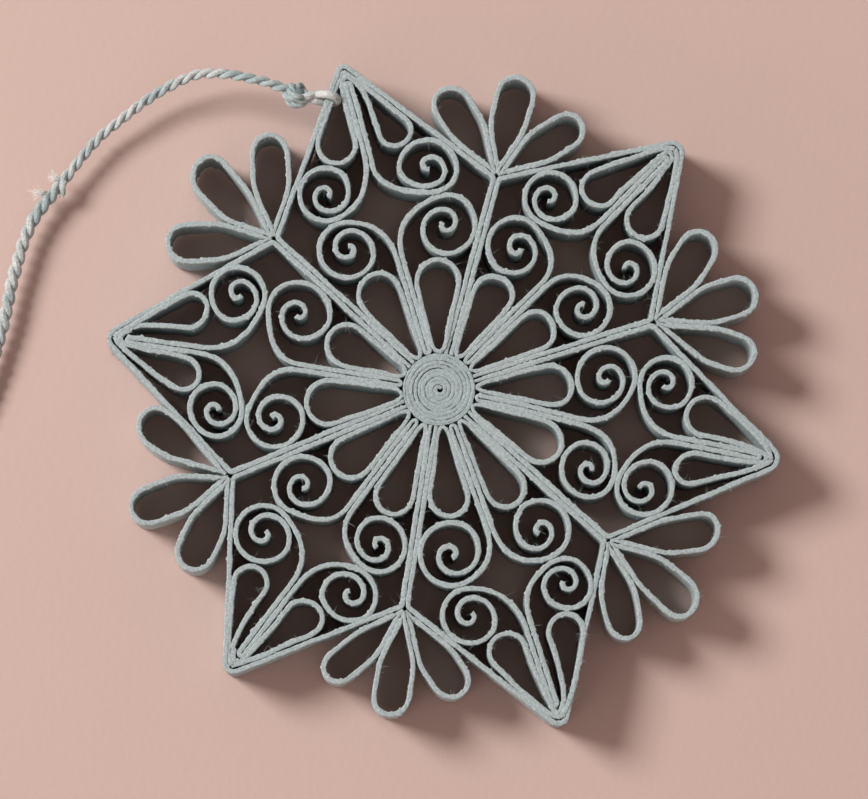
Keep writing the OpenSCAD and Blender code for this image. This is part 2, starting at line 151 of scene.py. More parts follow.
def wander(count, spacing, scale, columns=1):
    """Smooth random series between -1 and 1 that change over a length of scale, one per column."""
    knots = int(count * spacing / scale) + 4
    values = RNG.uniform(-1, 1, (knots, columns))
    x = np.arange(count) * spacing / scale + RNG.uniform(0, 1)
    i = np.minimum(x.astype(int), knots - 2)
    t = (x - i)[:, None]
    t = t * t * (3 - 2 * t)
    return values[i] * (1 - t) + values[i + 1] * t


def waves(count, spacing, layers, columns=1):
    """Sum of smooth random series, one for each (amount, length)."""
    return sum(amount * wander(count, spacing, length, columns) for amount, length in layers)


def resampled(path, spacing, smoothing=EASING):
    """The path at even steps, with its corners eased."""
    along = np.concatenate([[0], np.cumsum(np.linalg.norm(np.diff(path, axis=0), axis=1))])
    count = max(8, int(along[-1] / spacing) + 1)
    at = np.linspace(0, along[-1], count)
    even = np.stack([np.interp(at, along, path[:, k]) for k in range(path.shape[1])], 1)
    for _ in range(smoothing):
        even[1:-1] = (even[:-2] + 2 * even[1:-1] + even[2:]) / 4
    return even


def unit(vectors):
    return vectors / np.maximum(np.linalg.norm(vectors, axis=-1, keepdims=True), 1e-12)


def eased(x):
    """1 at or below 0, 0 at or above 1, smooth in between."""
    x = np.clip(x, 0, 1)
    return 1 - x * x * (3 - 2 * x)


def make_object(name, points, faces, material, **shares):
    """Mesh object from points in mm. Its shares are numbers per point for the material: cut is 1 on a cut face of
    paper and 0 on its side, whose colour holds painted shade; the twine's share is 1 where painted shade darkens
    it most, deep between two strands."""
    mesh = bpy.data.meshes.new(name)
    mesh.from_pydata((np.asarray(points) * MM).tolist(), [], faces)
    for key, values in shares.items():
        layer = mesh.attributes.new(key, "FLOAT", "POINT")
        layer.data.foreach_set("value", np.asarray(values, np.float32))
    mesh.polygons.foreach_set("use_smooth", [True] * len(mesh.polygons))
    mesh.update()
    mesh.materials.append(material)
    thing = bpy.data.objects.new(name, mesh)
    bpy.context.scene.collection.objects.link(thing)
    return thing


def placed(piece, body, node=None):
    """Puts a piece on a body, in place of a CAD node if one is named."""
    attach(piece, body)
    if node:
        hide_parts(node)


def above_floor(points, clearance=0.01):
    """The points, with any that lie below the floor lifted to just above it."""
    points[:, 2] = np.maximum(points[:, 2], clearance)
    return points


def tube_faces(stations, sides, first=0):
    """Quads between the rings of a tube, and its two end caps."""
    faces = []
    for i in range(stations - 1):
        a, b = first + i * sides, first + (i + 1) * sides
        for j in range(sides):
            k = (j + 1) % sides
            faces.append((a + j, a + k, b + k, b + j))
    faces.append(tuple(first + j for j in reversed(range(sides))))
    last = first + (stations - 1) * sides
    faces.append(tuple(last + j for j in range(sides)))
    return faces


# ---- Middle lines of the strips, from the CAD nodes ----

def top_outlines(node):
    """Closed outlines of the node's top face, each an array of points in mm."""
    mesh = frame["nodes"][node].data
    points = node_points(node)
    top = points[:, 2].max()
    edges = set()
    for polygon in mesh.polygons:
        corners = [points[i] for i in polygon.vertices]
        if all(abs(p[2] - top) < 1e-3 for p in corners):
            keys = [(round(float(p[0]), 4), round(float(p[1]), 4)) for p in corners]
            edges.update(zip(keys, keys[1:] + keys[:1]))
    following = {a: b for a, b in edges if (b, a) not in edges}
    outlines = []
    for start in sorted(following):
        if start not in following:
            continue
        outline, here = [start], following.pop(start)
        while here != start:
            outline.append(here)
            here = following.pop(here)
        outlines.append(np.array(outline))
    return outlines


def out_of_true(path):
    """The path moved by the small errors of the hand that glued it."""
    moved = path.copy()
    for spot, move, reach in OUT_OF_TRUE:
        near = np.exp(-((path - spot) ** 2).sum(1) / reach ** 2)
        moved = moved + near[:, None] * np.array(move)
    return moved


def middle_line(outline):
    """Middle line and thickness of a strip from its outline, whose two sides pair off from one end."""
    count = len(outline)
    half = np.arange(count // 2)
    best = None
    for first in range(count):
        left, right = outline[(first + half) % count], outline[(first - 1 - half) % count]
        width = np.linalg.norm(left - right, axis=1)
        spread = np.abs(width - np.median(width)).mean()
        if best is None or spread < best[0]:
            best = (spread, (left + right) / 2, float(np.median(width)))
    return out_of_true(best[1]), best[2]


# ---- A ribbon of paper ----

def ring_profile(height):
    """Cross-section of a strip, going up its left side and down its right: across, up and cut."""
    rows = [CORNER, *SIDE_ROWS, height / 2, *(height - r for r in reversed(SIDE_ROWS)), height - CORNER]
    across = [-1.0] * len(rows) + list(TOP_COLUMNS) + [1.0] * len(rows) + list(UNDER_COLUMNS)
    outermost, next_in = TOP_COLUMNS[-1], TOP_COLUMNS[-2]
    drop = [EDGE_DROP if abs(c) == outermost else NEXT_DROP if abs(c) == next_in else 0
            for c in TOP_COLUMNS]
    rise = [EDGE_DROP if abs(c) == UNDER_COLUMNS[0] else 0 for c in UNDER_COLUMNS]
    up = rows + [height - d for d in drop] + rows[::-1] + rise
    side_cut = [CORNER_CUT if z in (rows[0], rows[-1]) else 0 for z in rows]
    cut = side_cut + [1.0] * len(TOP_COLUMNS) + side_cut[::-1] + [1.0] * len(UNDER_COLUMNS)
    # listed the other way round, so that the faces of the tube look outwards
    return np.array(across[::-1]), np.array(up[::-1]), np.array(cut[::-1])


def ragged(count, burr):
    """How far a cut edge stands out along a strip, with a few torn burrs."""
    edge = waves(count, STATION, EDGE_WAVES)[:, 0]
    for i in np.flatnonzero(RNG.random(count) < burr):
        size = RNG.uniform(*BURR_SIZE)
        edge[i] += size
        edge[min(i + 1, count - 1)] += size * RNG.uniform(0.2, 0.8)
    return edge


def ribbon(name, path, thickness, height, material, lift=0.0, burr=BURR_CHANCE, level=None,
           squeeze=None, rise=0.0, inset=0.0, easing=EASING):
    """Strip of soft paper on edge along path, in mm.

    lift is added to its top, and so is level(line) at each station. squeeze(line) gives the share of
    its thickness there. rise is how far its lower edge stands off the floor, and inset is the most
    that a loop is drawn in, so that seams open beside it in places. Gives the object, its line, the
    directions across it and half its thickness.
    """
    line = resampled(path, STATION, easing)
    count = len(line)
    along = unit(np.gradient(line, axis=0))
    out = np.stack([-along[:, 1], along[:, 0]], 1)
    inward = np.sign(((line.mean(0) - line) * out).sum(1))[:, None]
    line = line + out * inward * inset * (0.5 + 0.5 * wander(count, STATION, SEAM_WAVE))
    across, up, cut = ring_profile(height)
    sides = len(across)
    half = thickness / 2 * (SWELL + waves(count, STATION, THICKNESS_WAVES))
    if squeeze is not None:
        half = half * squeeze(line)[:, None]
    v = across[None, :] * half
    on_side = np.abs(across) == 1
    v = v + np.where(on_side, waves(count, STATION, SIDE_WAVES, sides), 0)
    z = np.repeat(up[None, :], count, 0)
    high = up > height / 2
    from_edge = np.where(high, height - up, up)
    pull = np.where(on_side, np.clip(1.1 - from_edge / BURR_REACH, 0, 1), np.abs(across) ** 3)
    # the cut edges stand out unevenly, and drag the rows beside them along
    for side in (-1, 1):
        for upper in (True, False):
            edge = ragged(count, burr)
            here = (high == upper) & (np.sign(across) == side)
            v = v + side * np.where(here, pull, 0)[None, :] * edge[:, None]
    # cut faces: long streaks of fibre, and a height that wanders
    z = z + np.where(cut == 1.0, waves(count, STATION, STREAK_WAVES, sides), 0)
    top = lift + waves(count, STATION, TOP_WAVES)[:, 0] + (0 if level is None else level(line))
    z = z + np.where(up > height - TOP_REACH, 1, 0)[None, :] * top[:, None]
    z = np.maximum(z, 0.0)
    z = z + rise * (1 - np.clip(z / height, 0, 1))
    points = np.empty((count, sides, 3))
    points[:, :, :2] = line[:, None, :] + out[:, None, :] * v[:, :, None]
    points[:, :, 2] = z
    thing = make_object(name, points.reshape(-1, 3), tube_faces(count, sides), material,
                        cut=np.tile(cut, count))
    return thing, line, out, half[:, 0]


# ---- Loose fibres ----

FIBRE_STEPS = 4
FIBRE_TAPER = 0.8        # how much thinner a loose fibre's end is than its root


def fibres(roots, directions, lengths, radius, curl=0.45):
    """Points and faces of thin tapering hairs, each a closed three-sided tube."""
    count = len(roots)
    sway = unit(RNG.normal(size=(count, 3))) * curl
    t = np.linspace(0, 1, FIBRE_STEPS + 1)
    middle = (roots[:, None, :] + directions[:, None, :] * (t[None, :, None] * lengths[:, None, None])
              + sway[:, None, :] * (t[None, :, None] ** 2 * lengths[:, None, None]))
    side = unit(np.cross(directions, unit(RNG.normal(size=(count, 3)))))
    other = np.cross(directions, side)
    rings = []
    for j in range(3):
        a = 2 * math.pi * j / 3
        offset = (side * math.cos(a) + other * math.sin(a))[:, None, :]
        rings.append(middle + offset * (radius[:, None, None] * (1 - FIBRE_TAPER * t[None, :, None])))
    points = np.stack(rings, 2).reshape(-1, 3)
    faces = []
    for i in range(count):
        faces.extend(tube_faces(FIBRE_STEPS + 1, 3, i * (FIBRE_STEPS + 1) * 3))
    return points, faces


# ---- Materials ----

CUT_COLOUR = (0.39, 0.462, 0.475)
CLOUD_COLOUR = (0.25, 0.34, 0.36)
FLECK_COLOUR = (0.72, 0.72, 0.68)
PIT_COLOUR = (0.10, 0.14, 0.15)
# painted shade between the strands of twine
GROOVE_SHADE_COLOUR = (0.12, 0.21, 0.23)
FLOOR_COLOURS = ((0.565, 0.415, 0.372), (0.59, 0.432, 0.39))


def node_material(name):
    material = bpy.data.materials.new(name)
    material.use_nodes = True
    tree = material.node_tree
    return material, tree, tree.nodes["Principled BSDF"]


def noise(tree, scale, detail=3.0, stretch=(1, 1, 1)):
    """Noise over the object's own space, with scale in features per metre."""
    where = tree.nodes.new("ShaderNodeTexCoord")
    mapping = tree.nodes.new("ShaderNodeMapping")
    mapping.inputs["Scale"].default_value = stretch
    texture = tree.nodes.new("ShaderNodeTexNoise")
    texture.inputs["Scale"].default_value = scale
    texture.inputs["Detail"].default_value = detail
    tree.links.new(where.outputs["Object"], mapping.inputs["Vector"])
    tree.links.new(mapping.outputs["Vector"], texture.inputs["Vector"])
    return texture.outputs["Fac"]


def ramp(tree, value, low, high, out_low, out_high):
    """Value mapped from low..high to out_low..out_high, clamped."""
    step = tree.nodes.new("ShaderNodeMapRange")
    for key, number in zip(("From Min", "From Max", "To Min", "To Max"), (low, high, out_low, out_high)):
        step.inputs[key].default_value = number
    tree.links.new(value, step.inputs["Value"])
    return step.outputs["Result"]


def mix(tree, factor, a, b, blend="MIX"):
    """Colour mix; a, b and factor are sockets or plain values."""
    node = tree.nodes.new("ShaderNodeMix")
    node.data_type = "RGBA"
    node.blend_type = blend
    for key, value in ((0, factor), (6, a), (7, b)):
        if hasattr(value, "is_linked"):
            tree.links.new(value, node.inputs[key])
        elif key == 0:
            node.inputs[key].default_value = value
        else:
            node.inputs[key].default_value = (*value, 1)
    return node.outputs[2]


def shaded(tree, colour, value):
    """The colour multiplied by a value socket."""
    grey = tree.nodes.new("ShaderNodeCombineColor")
    for key in ("Red", "Green", "Blue"):
        tree.links.new(value, grey.inputs[key])
    return mix(tree, 1.0, colour, grey.outputs["Color"], "MULTIPLY")


def share_of(tree, name):
    """Socket with one of the shares that make_object stores."""
    node = tree.nodes.new("ShaderNodeAttribute")
    node.attribute_name = name
    return node.outputs["Fac"]


def bumped(tree, shader, layers):
    """Bump from (height socket, distance in metres) layers, one on top of the other."""
    previous = None
    for height, distance in layers:
        bump = tree.nodes.new("ShaderNodeBump")
        bump.inputs["Strength"].default_value = 1.0
        bump.inputs["Distance"].default_value = distance
        tree.links.new(height, bump.inputs["Height"])
        if previous is not None:
            tree.links.new(previous, bump.inputs["Normal"])
        previous = bump.outputs["Normal"]
    tree.links.new(previous, shader.inputs["Normal"])


def paper_material(name, cut_colour, side_colour_as_lit):
    """Soft fibrous paper. Its sides take their own colour, which holds the paper's own teal tone and the painted
    light and shade of its walls.
    """
    material, tree, shader = node_material(name)
    # the sides' colour carries painted shade on the walls, and painted light on the fan petals
    colour = mix(tree, share_of(tree, "cut"), side_colour_as_lit, cut_colour)
    cloud = ramp(tree, noise(tree, 160, 2), 0.3, 0.7, 0.0, 0.09)
    colour = mix(tree, cloud, colour, CLOUD_COLOUR)
    colour = shaded(tree, colour, ramp(tree, noise(tree, 3000, 4), 0.32, 0.68, 0.76, 1.16))
    fleck = ramp(tree, noise(tree, 5200, 1), 0.66, 0.74, 0.0, 0.5)
    colour = mix(tree, fleck, colour, FLECK_COLOUR)
    pit = ramp(tree, noise(tree, 3600, 2, (1, 1, 0.6)), 0.30, 0.22, 0.0, 0.6)
    colour = mix(tree, pit, colour, PIT_COLOUR)
    tree.links.new(colour, shader.inputs["Base Color"])
    tree.links.new(ramp(tree, noise(tree, 1800, 2), 0.3, 0.7, 0.82, 1.0), shader.inputs["Roughness"])
    shader.inputs["Specular IOR Level"].default_value = 0.2
    shader.inputs["Sheen Weight"].default_value = 0.12
    shader.inputs["Sheen Roughness"].default_value = 0.6
    bumped(tree, shader, [(noise(tree, 1500, 3, (1, 1, 0.35)), 0.00007),
                          (noise(tree, 6500, 3, (1, 1, 0.5)), 0.00003)])
    return material


def twine_material(name, pale, tinted):
    """Pale twine, tinted unevenly, with fine fibres and painted shade between its strands."""
    material, tree, shader = node_material(name)
    tint = ramp(tree, noise(tree, 240, 2), 0.4, 0.62, 0.0, 1.0)
    colour = mix(tree, tint, pale, tinted)
    colour = shaded(tree, colour, ramp(tree, noise(tree, 3200, 4), 0.3, 0.7, 0.72, 1.2))
    # painted shade between the strands
    colour = mix(tree, share_of(tree, "groove"), colour, GROOVE_SHADE_COLOUR)
    tree.links.new(colour, shader.inputs["Base Color"])
    shader.inputs["Roughness"].default_value = 0.9
    shader.inputs["Specular IOR Level"].default_value = 0.2
    shader.inputs["Sheen Weight"].default_value = 0.25
    bumped(tree, shader, [(noise(tree, 4500, 3), 0.00005)])
    return material


def floor_material():
    material, tree, shader = node_material("floor")
    cloud = ramp(tree, noise(tree, 14, 4), 0.3, 0.7, 0.0, 1.0)
    tree.links.new(mix(tree, cloud, *FLOOR_COLOURS), shader.inputs["Base Color"])
    shader.inputs["Roughness"].default_value = 0.85
    bumped(tree, shader, [(noise(tree, 900, 4), 0.00004)])
    return material


# sides darker than cut faces: their teal is the paper's own tone, their darkness painted shade; the coil's paper
# below is painted the same way
PAPER = paper_material("paper", CUT_COLOUR, (0.31, 0.38, 0.395))
# the fan petals' paper is a lit copy with paler sides: painted light for the extra light on the star's rim
LIT_PETAL_PAPER = paper_material("lit_petal_paper", CUT_COLOUR, (0.385, 0.445, 0.448))
COIL_PAPER = paper_material("coil_paper", (0.36, 0.435, 0.45), (0.26, 0.34, 0.36))
TWINE = twine_material("twine", (0.53, 0.56, 0.55), (0.35, 0.43, 0.44))
WORN_TWINE = twine_material("worn_twine", (0.58, 0.6, 0.575), (0.40, 0.46, 0.46))
FRAY = twine_material("broken_fibres", (0.95, 0.95, 0.92), (0.85, 0.86, 0.84))


# ---- The star ----

def tie_ring():
    """Middle of the tie's loop, the level direction out of the wall, the wall's own direction and
    the middle of the knot, in mm."""
    lift = next(j for j in frame["joints"] if j["name"] == "tie_lift")
    swing = next(j for j in frame["joints"] if j["name"] == "cord_swing")
    axis = unit(np.array(lift["axis"], float))
    ring = np.array(lift["pos_m"]) / MM + axis * TIE_ALONG
    return ring, np.cross([0, 0, 1], axis), axis, np.array(swing["pos_m"]) / MM


def split_into_triangles(thing, centre, reach):
    """Splits a piece's faces near a place, so that none of them is bent when a hole is cut there."""
    work = bmesh.new()
    work.from_mesh(thing.data)
    near = [face for face in work.faces if (face.calc_center_median() - centre).length < reach]
    bmesh.ops.triangulate(work, faces=near)
    work.to_mesh(thing.data)
    work.free()


def bored(thing, centre, direction, radius, length):
    """Cuts a round hole through a piece and applies it."""
    middle = Vector(centre) * MM
    split_into_triangles(thing, middle, length * MM)
    bpy.ops.mesh.primitive_cylinder_add(vertices=32, radius=radius * MM, depth=length * MM,
                                        location=middle)
    cutter = bpy.context.object
    cutter.rotation_mode = "QUATERNION"
    cutter.rotation_quaternion = Vector(direction).to_track_quat("Z", "Y")
    hole = thing.modifiers.new("hole", "BOOLEAN")
    hole.operation, hole.solver, hole.object = "DIFFERENCE", "EXACT", cutter
    bpy.context.view_layer.update()
    graph = bpy.context.evaluated_depsgraph_get()
    mesh = bpy.data.meshes.new_from_object(thing.evaluated_get(graph), preserve_all_data_layers=True,
                                           depsgraph=graph)
    thing.modifiers.clear()
    thing.data = mesh
    bpy.data.objects.remove(cutter)


HAIR_EVERY = 0.65        # mm of strip per loose fibre
HAIR_SHARES = ((True, 1.0), (False, 0.4))   # of these on a strip's upper and lower edges
HAIRS_BUNCHED = 0.55     # share of them that stand in small bunches
HAIR_ROOT = 0.85         # how far out a fibre's root lies, as a share of the way to the surface
HAIR_BELOW_TOP, HAIR_ABOVE_FLOOR = 0.12, 0.25
TUFT_CHANCE, TUFT_HAIRS = 0.3, 14   # some strips have a tuft of torn fibres at one spot
hair_roots, hair_ways = [], []


def add_hairs(line, out, half, height):
    """Roots and directions of the loose fibres along a strip's upper and lower cut edges."""
    length = STATION * len(line)
    for upper, share in HAIR_SHARES:
        count = int(length / HAIR_EVERY * share)
        tufts = RNG.integers(0, len(line), max(1, count // 3))
        picks = np.where(RNG.random(count) < HAIRS_BUNCHED, tufts[RNG.integers(0, len(tufts), count)],
                         RNG.integers(0, len(line), count))
        picks = np.clip(picks + RNG.integers(-1, 2, count), 0, len(line) - 1)
        side = RNG.choice([-1.0, 1.0], count)
        if upper and RNG.random() < TUFT_CHANCE:
            spot = RNG.integers(2, len(line) - 2)
            picks[:TUFT_HAIRS] = spot + RNG.integers(-2, 3, min(count, TUFT_HAIRS))
        z = np.full(count, height - HAIR_BELOW_TOP if upper else HAIR_ABOVE_FLOOR)
        root = np.column_stack([line[picks] + out[picks] * (side * half[picks] * HAIR_ROOT)[:, None], z])
        way = np.column_stack([out[picks] * side[:, None] + RNG.normal(0, 0.7, (count, 2)),
                               RNG.uniform(0, 0.7, count) * (1 if upper else 0.05)])
        hair_roots.append(root)
        hair_ways.append(unit(way))


def middle_and_radius(node):
    """Middle of a round CAD node and half its width along X, in mm."""
    low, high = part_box(node)
    return np.array((low + high) / 2) / MM, (high.x - low.x) / 2 / MM


def coil_radius():
    return middle_and_radius("centre_coil")[1]


def against_coil(path, thickness, flare):
    """The path of a strip with its inner end pulled in to lie against the coil and spread sideways."""
    radius = np.linalg.norm(path, axis=1)
    inmost = int(np.argmin(radius))
    folded = 2 < inmost < len(path) - 3
    gap = radius[inmost] - coil_radius() - (thickness / 2 * BY_COIL_THIN if folded else BY_COIL_GAP)
    near = eased((radius - radius[inmost]) / BY_COIL)
    shrunk = path * (1 - gap * near / radius)[:, None]
    if flare == 0:
        return shrunk
    # spread a closed loop about its own axis where it meets the coil
    axis = unit(path.mean(0))
    side = np.array([-axis[1], axis[0]])
    offset = shrunk @ side
    close = eased((np.linalg.norm(shrunk, axis=1) - coil_radius()) / FLARE_REACH)
    return shrunk + side * (offset * flare * close)[:, None]


def by_coil(line):
    """Share of its thickness that a strip keeps, thinner where it meets the coil."""
    near = eased((np.linalg.norm(line, axis=1) - coil_radius()) / BY_COIL)
    return 1 - (1 - BY_COIL_THIN) * near


def into_valley(path):
    """A fan petal's path with its two ends carried on into the valley's corner, and that corner."""
    a, b = path[0], path[-1]
    along_a, along_b = unit(a - path[3]), unit(b - path[-4])
    run = np.linalg.solve(np.column_stack([along_a, -along_b]), b - a)
    corner = a + along_a * run[0]
    steps = np.linspace(0.8, 0.1, 5)[:, None]
    beyond = [corner - unit((a + b) / 2 - corner) * INTO_VALLEY]
    path = corner + (path - corner) * FAN_LONGER
    start = np.concatenate([corner + (a - corner) * steps, beyond])
    end = np.concatenate([corner + (b - corner) * steps, beyond])
    return np.concatenate([start[::-1], path, end]), corner


def into_valley_thickness(corner, reach):
    """How a fan petal's strip thins out from reach inwards, as a function of its line."""
    return lambda line: np.clip(np.linalg.norm(line - corner, axis=1) / reach, VALLEY_THIN, 1)


def kite_tip(place):
    """The sharp corner of a kite frame's middle line."""
    path = middle_line(top_outlines("kite_frame_" + place)[0])[0]
    return path[int(np.argmax(np.linalg.norm(path, axis=1)))]


def curve(start, control, end, count=6):
    """Points of a quadratic curve, without its start."""
    t = np.linspace(0, 1, count + 1)[1:, None]
    return start * (1 - t) ** 2 + 2 * control * t * (1 - t) + end * t ** 2


def round_tip(path, tip):
    """A teardrop's path with its pinched end opened: one leg runs on along the frame's bend to the
    middle of the tip, the other one closes in below it."""
    outward = unit(tip)
    aside = np.array([-outward[1], outward[0]])
    aside *= np.sign((path.mean(0) - tip) @ aside)
    local = np.column_stack([path @ outward, path @ aside])
    top = np.linalg.norm(tip)
    legs = np.flatnonzero(local[:, 0] < local[:, 0].max() - PINCHED)
    local = local[legs[0]:legs[-1] + 1]
    if local[0, 1] < local[-1, 1]:
        local = local[::-1]
    wall = unit(local[0] - local[1])
    wrap = np.array([top - TIP_WRAP, 0.0])
    bend = local[0] + wall * (wrap[0] - local[0, 0]) / wall[0]
    close = np.array([top - TIP_CLOSE, CLOSE_GAP])
    narrow = np.array([top - TIP_FOLD, local[-1, 1]])
    local = np.concatenate([curve(local[0], bend, wrap)[::-1], local, curve(local[-1], narrow, close)])
    return local[:, :1] * outward + local[:, 1:] * aside


def lowered_fold(path, tip):
    """A tip scroll's path with its fold moved down from the tip."""
    outward = unit(tip)
    height = path @ outward
    shift = height.max() - (np.linalg.norm(tip) - TIP_FOLD)
    return path - outward * (shift * eased((height.max() - height) / FOLD_REACH))[:, None]


def shaped(node, path, thickness):
    """Path of one strip pressed against its neighbours, and how it thins out where they meet."""
    if node.startswith("fan_petal"):
        start = path[0]
        path, corner = into_valley(path)
        return path, into_valley_thickness(corner, np.linalg.norm(start - corner))
    if node.startswith("tip_teardrops"):
        return round_tip(path, kite_tip(node.removeprefix("tip_teardrops_"))), None
    if node.startswith("tip_scroll"):
        return lowered_fold(path, kite_tip(node.removeprefix("tip_scroll_"))), None
    if np.linalg.norm(path, axis=1).min() < coil_radius() + BY_COIL:
        flare = RNG.uniform(*PETAL_FLARE) if node.startswith("inner_petal") else 0
        return against_coil(path, thickness, flare), by_coil
    return path, None


BEHIND_TIE = ("paper_kite_frame_top", "paper_tip_teardrops_top_a")   # what the tie's hole goes through


def paper_strips():
    ring, towards, _, _ = tie_ring()
    hole = ring - np.array([0, 0, TIE_HOLE_BELOW])
    for node in sorted(frame["record"]["behaviour"]["bodies"]["star"]):
        if node == "centre_coil":
            continue
        height = float(node_points(node)[:, 2].max())
        lift = RNG.uniform(-UNEVEN_TOPS, UNEVEN_TOPS)
        rise = RNG.uniform(*(RISE_RAISED if node in RAISED else RISE))
        outlines = sorted(top_outlines(node), key=lambda o: float(o[:, 0].min()))
        for i, outline in enumerate(outlines):
            path, thickness = middle_line(outline)
            name = "paper_" + node + ("" if len(outlines) == 1 else "_" + "ab"[i])
            path, squeeze = shaped(node, path, thickness)
            inset = next((most for kind, most in INSET.items() if node.startswith(kind)), 0.0)
            # the fan petals get the lit copy of the paper, with painted light on their sides
            material = LIT_PETAL_PAPER if node.startswith("fan_petal") else PAPER
            easing = PETAL_EASING if node.startswith(("fan_petal", "inner_petal")) else EASING
            strip, line, out, half = ribbon(name, path, thickness, height, material, lift,
                                            squeeze=squeeze, rise=rise, inset=inset, easing=easing)
            add_hairs(line, out, half, height)
            if name in BEHIND_TIE:
                bored(strip, hole, towards, TIE_HOLE_RADIUS, TIE_HOLE_LENGTH)
            placed(strip, "star", node)


COIL_TURNS = 8
COIL_EYE = 0.34          # radius where the coil's strip starts
COIL_END = 0.9           # part of a turn in which the strip thins out and closes the rim
COIL_LOOSE_SIDE = 125    # direction in which its turns stand apart, in degrees from +X
COIL_LOOSE_AT = 0.68     # the share of its radius at which they do so most
COIL_PAPER_SHARE = 0.93  # of the distance between its turns that the strip is thick
COIL_THIN_END = 0.8      # how much of its thickness the strip has lost at its end
COIL_DRIFT = (0.05, 3.0)   # how far the turns wander in and out, and over what length
COIL_BURRS = 0.01
COIL_TOP_WAVES = ((0.07, 7.0), (0.04, 2.0))
COIL_HAIRY = 200         # stations at its outer end that have loose fibres


def coil():
    outer = coil_radius()
    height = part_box("centre_coil")[1].z / MM
    pitch = (outer - COIL_EYE) / (COIL_TURNS + 0.5)
    turn = np.linspace(0, COIL_TURNS + COIL_END, int((COIL_TURNS + COIL_END) * 60))
    over = np.clip(turn - COIL_TURNS, 0, None)
    radius = COIL_EYE + pitch * np.minimum(turn, COIL_TURNS) + pitch / 2 * COIL_THIN_END * over
    drift, length = COIL_DRIFT
    free = np.clip(turn / 2, 0, 1) * np.clip(COIL_TURNS - turn, 0, 1)
    radius = radius + drift * wander(len(turn), 0.3, length)[:, 0] * free
    angle = 2 * math.pi * turn
    path = np.column_stack([radius * np.cos(angle), radius * np.sin(angle)])

    def packed(line):
        """Turns pressed together, except for stretches on one side where they stand apart."""
        r = np.linalg.norm(line, axis=1)
        facing = np.cos(np.arctan2(line[:, 1], line[:, 0]) - math.radians(COIL_LOOSE_SIDE))
        apart = np.clip(facing, 0, 1) * eased(np.abs(r - COIL_LOOSE_AT * outer) / (0.3 * outer))
        chance = np.clip(wander(len(line), STATION, 1.6)[:, 0], 0, 1)
        run = np.concatenate([[0], np.cumsum(np.linalg.norm(np.diff(line, axis=0), axis=1))])
        rim = 2 * math.pi * (outer - pitch / 2)
        ending = np.clip((run - run[-1]) / (rim * COIL_END) + 1, 0, 1)
        return (1.06 - 0.11 * apart - 0.07 * chance) * (1 - COIL_THIN_END * ending)

    def uneven(line):
        return waves(len(line), STATION, COIL_TOP_WAVES)[:, 0]

    strip, line, out, half = ribbon("paper_centre_coil", path, pitch * COIL_PAPER_SHARE, height,
                                    COIL_PAPER, burr=COIL_BURRS, level=uneven, squeeze=packed)
    add_hairs(line[-COIL_HAIRY:], out[-COIL_HAIRY:], half[-COIL_HAIRY:], height)
    placed(strip, "star", "centre_coil")


HAIR_SPREAD = (-0.8, 0.5)   # mean and spread of the logarithm of a loose fibre's length
HAIR_LENGTHS = (0.2, 1.3)   # shortest and longest
HAIR_RADIUS = (0.012, 0.032)


def paper_fibres():
    roots, ways = np.concatenate(hair_roots), np.concatenate(hair_ways)
    count = len(roots)
    lengths = np.clip(RNG.lognormal(*HAIR_SPREAD, count), *HAIR_LENGTHS)
    points, faces = fibres(roots, ways, lengths, RNG.uniform(*HAIR_RADIUS, count))
    hairs = make_object("paper_fibres", above_floor(points), faces, PAPER, cut=np.ones(len(points)))
    placed(hairs, "star")


# ---- The cord ----

def tube_middle(node, start):
    """Middle line, in mm, of a tube-shaped CAD node, from the end nearest to start."""
    mesh = frame["nodes"][node].data
    points = np.round(node_points(node), 4)
    spots, index = np.unique(points, axis=0, return_inverse=True)
    index = index.ravel()
    near = [set() for _ in spots]
    for polygon in mesh.polygons:
        ring = [int(index[i]) for i in polygon.vertices]
        for a, b in zip(ring, ring[1:] + ring[:1]):
            near[a].add(b)
            near[b].add(a)
    distance = np.linalg.norm(spots - start, axis=1)
    ring = set(np.flatnonzero(distance < distance.min() + 0.3).tolist())
    seen, line = set(), []
    while ring:
        line.append(spots[sorted(ring)].mean(0))
        seen |= ring
        ring = set().union(*(near[i] for i in ring)) - seen
    return np.array(line)


def carried_frames(path):
    """Direction along the path and two directions across it that don't twist round it."""
    along = unit(np.gradient(path, axis=0))
    first = np.cross(along[0], [0, 0, 1.0])
    if np.linalg.norm(first) < 0.1:
        first = np.cross(along[0], [1.0, 0, 0])
    across = [unit(first)]
    for t in along[1:]:
        across.append(unit(across[-1] - t * np.dot(across[-1], t)))
    across = np.array(across)
    return along, across, np.cross(along, across)


def yarn(path, radius):
    """Tube with the ridges of its fibres; gives its points and the number of its stations."""
    count = len(path)
    _, across, over = carried_frames(path)
    a = np.linspace(0, 2 * math.pi, YARN_SIDES, endpoint=False)[None, :]
    s = (np.arange(count) * YARN_STATION)[:, None]
    ridge = RIDGE_HEIGHT * np.cos(YARN_RIDGES * a - 2 * math.pi * s / RIDGE_LAY)
    fine = waves(count, YARN_STATION, YARN_WAVES, YARN_SIDES)
    swell = waves(count, YARN_STATION, YARN_SWELL)
    r = radius * (1 + ridge + fine + swell)
    points = (path[:, None, :] + across[:, None, :] * (r * np.cos(a))[:, :, None]
              + over[:, None, :] * (r * np.sin(a))[:, :, None])
    return points.reshape(-1, 3), count


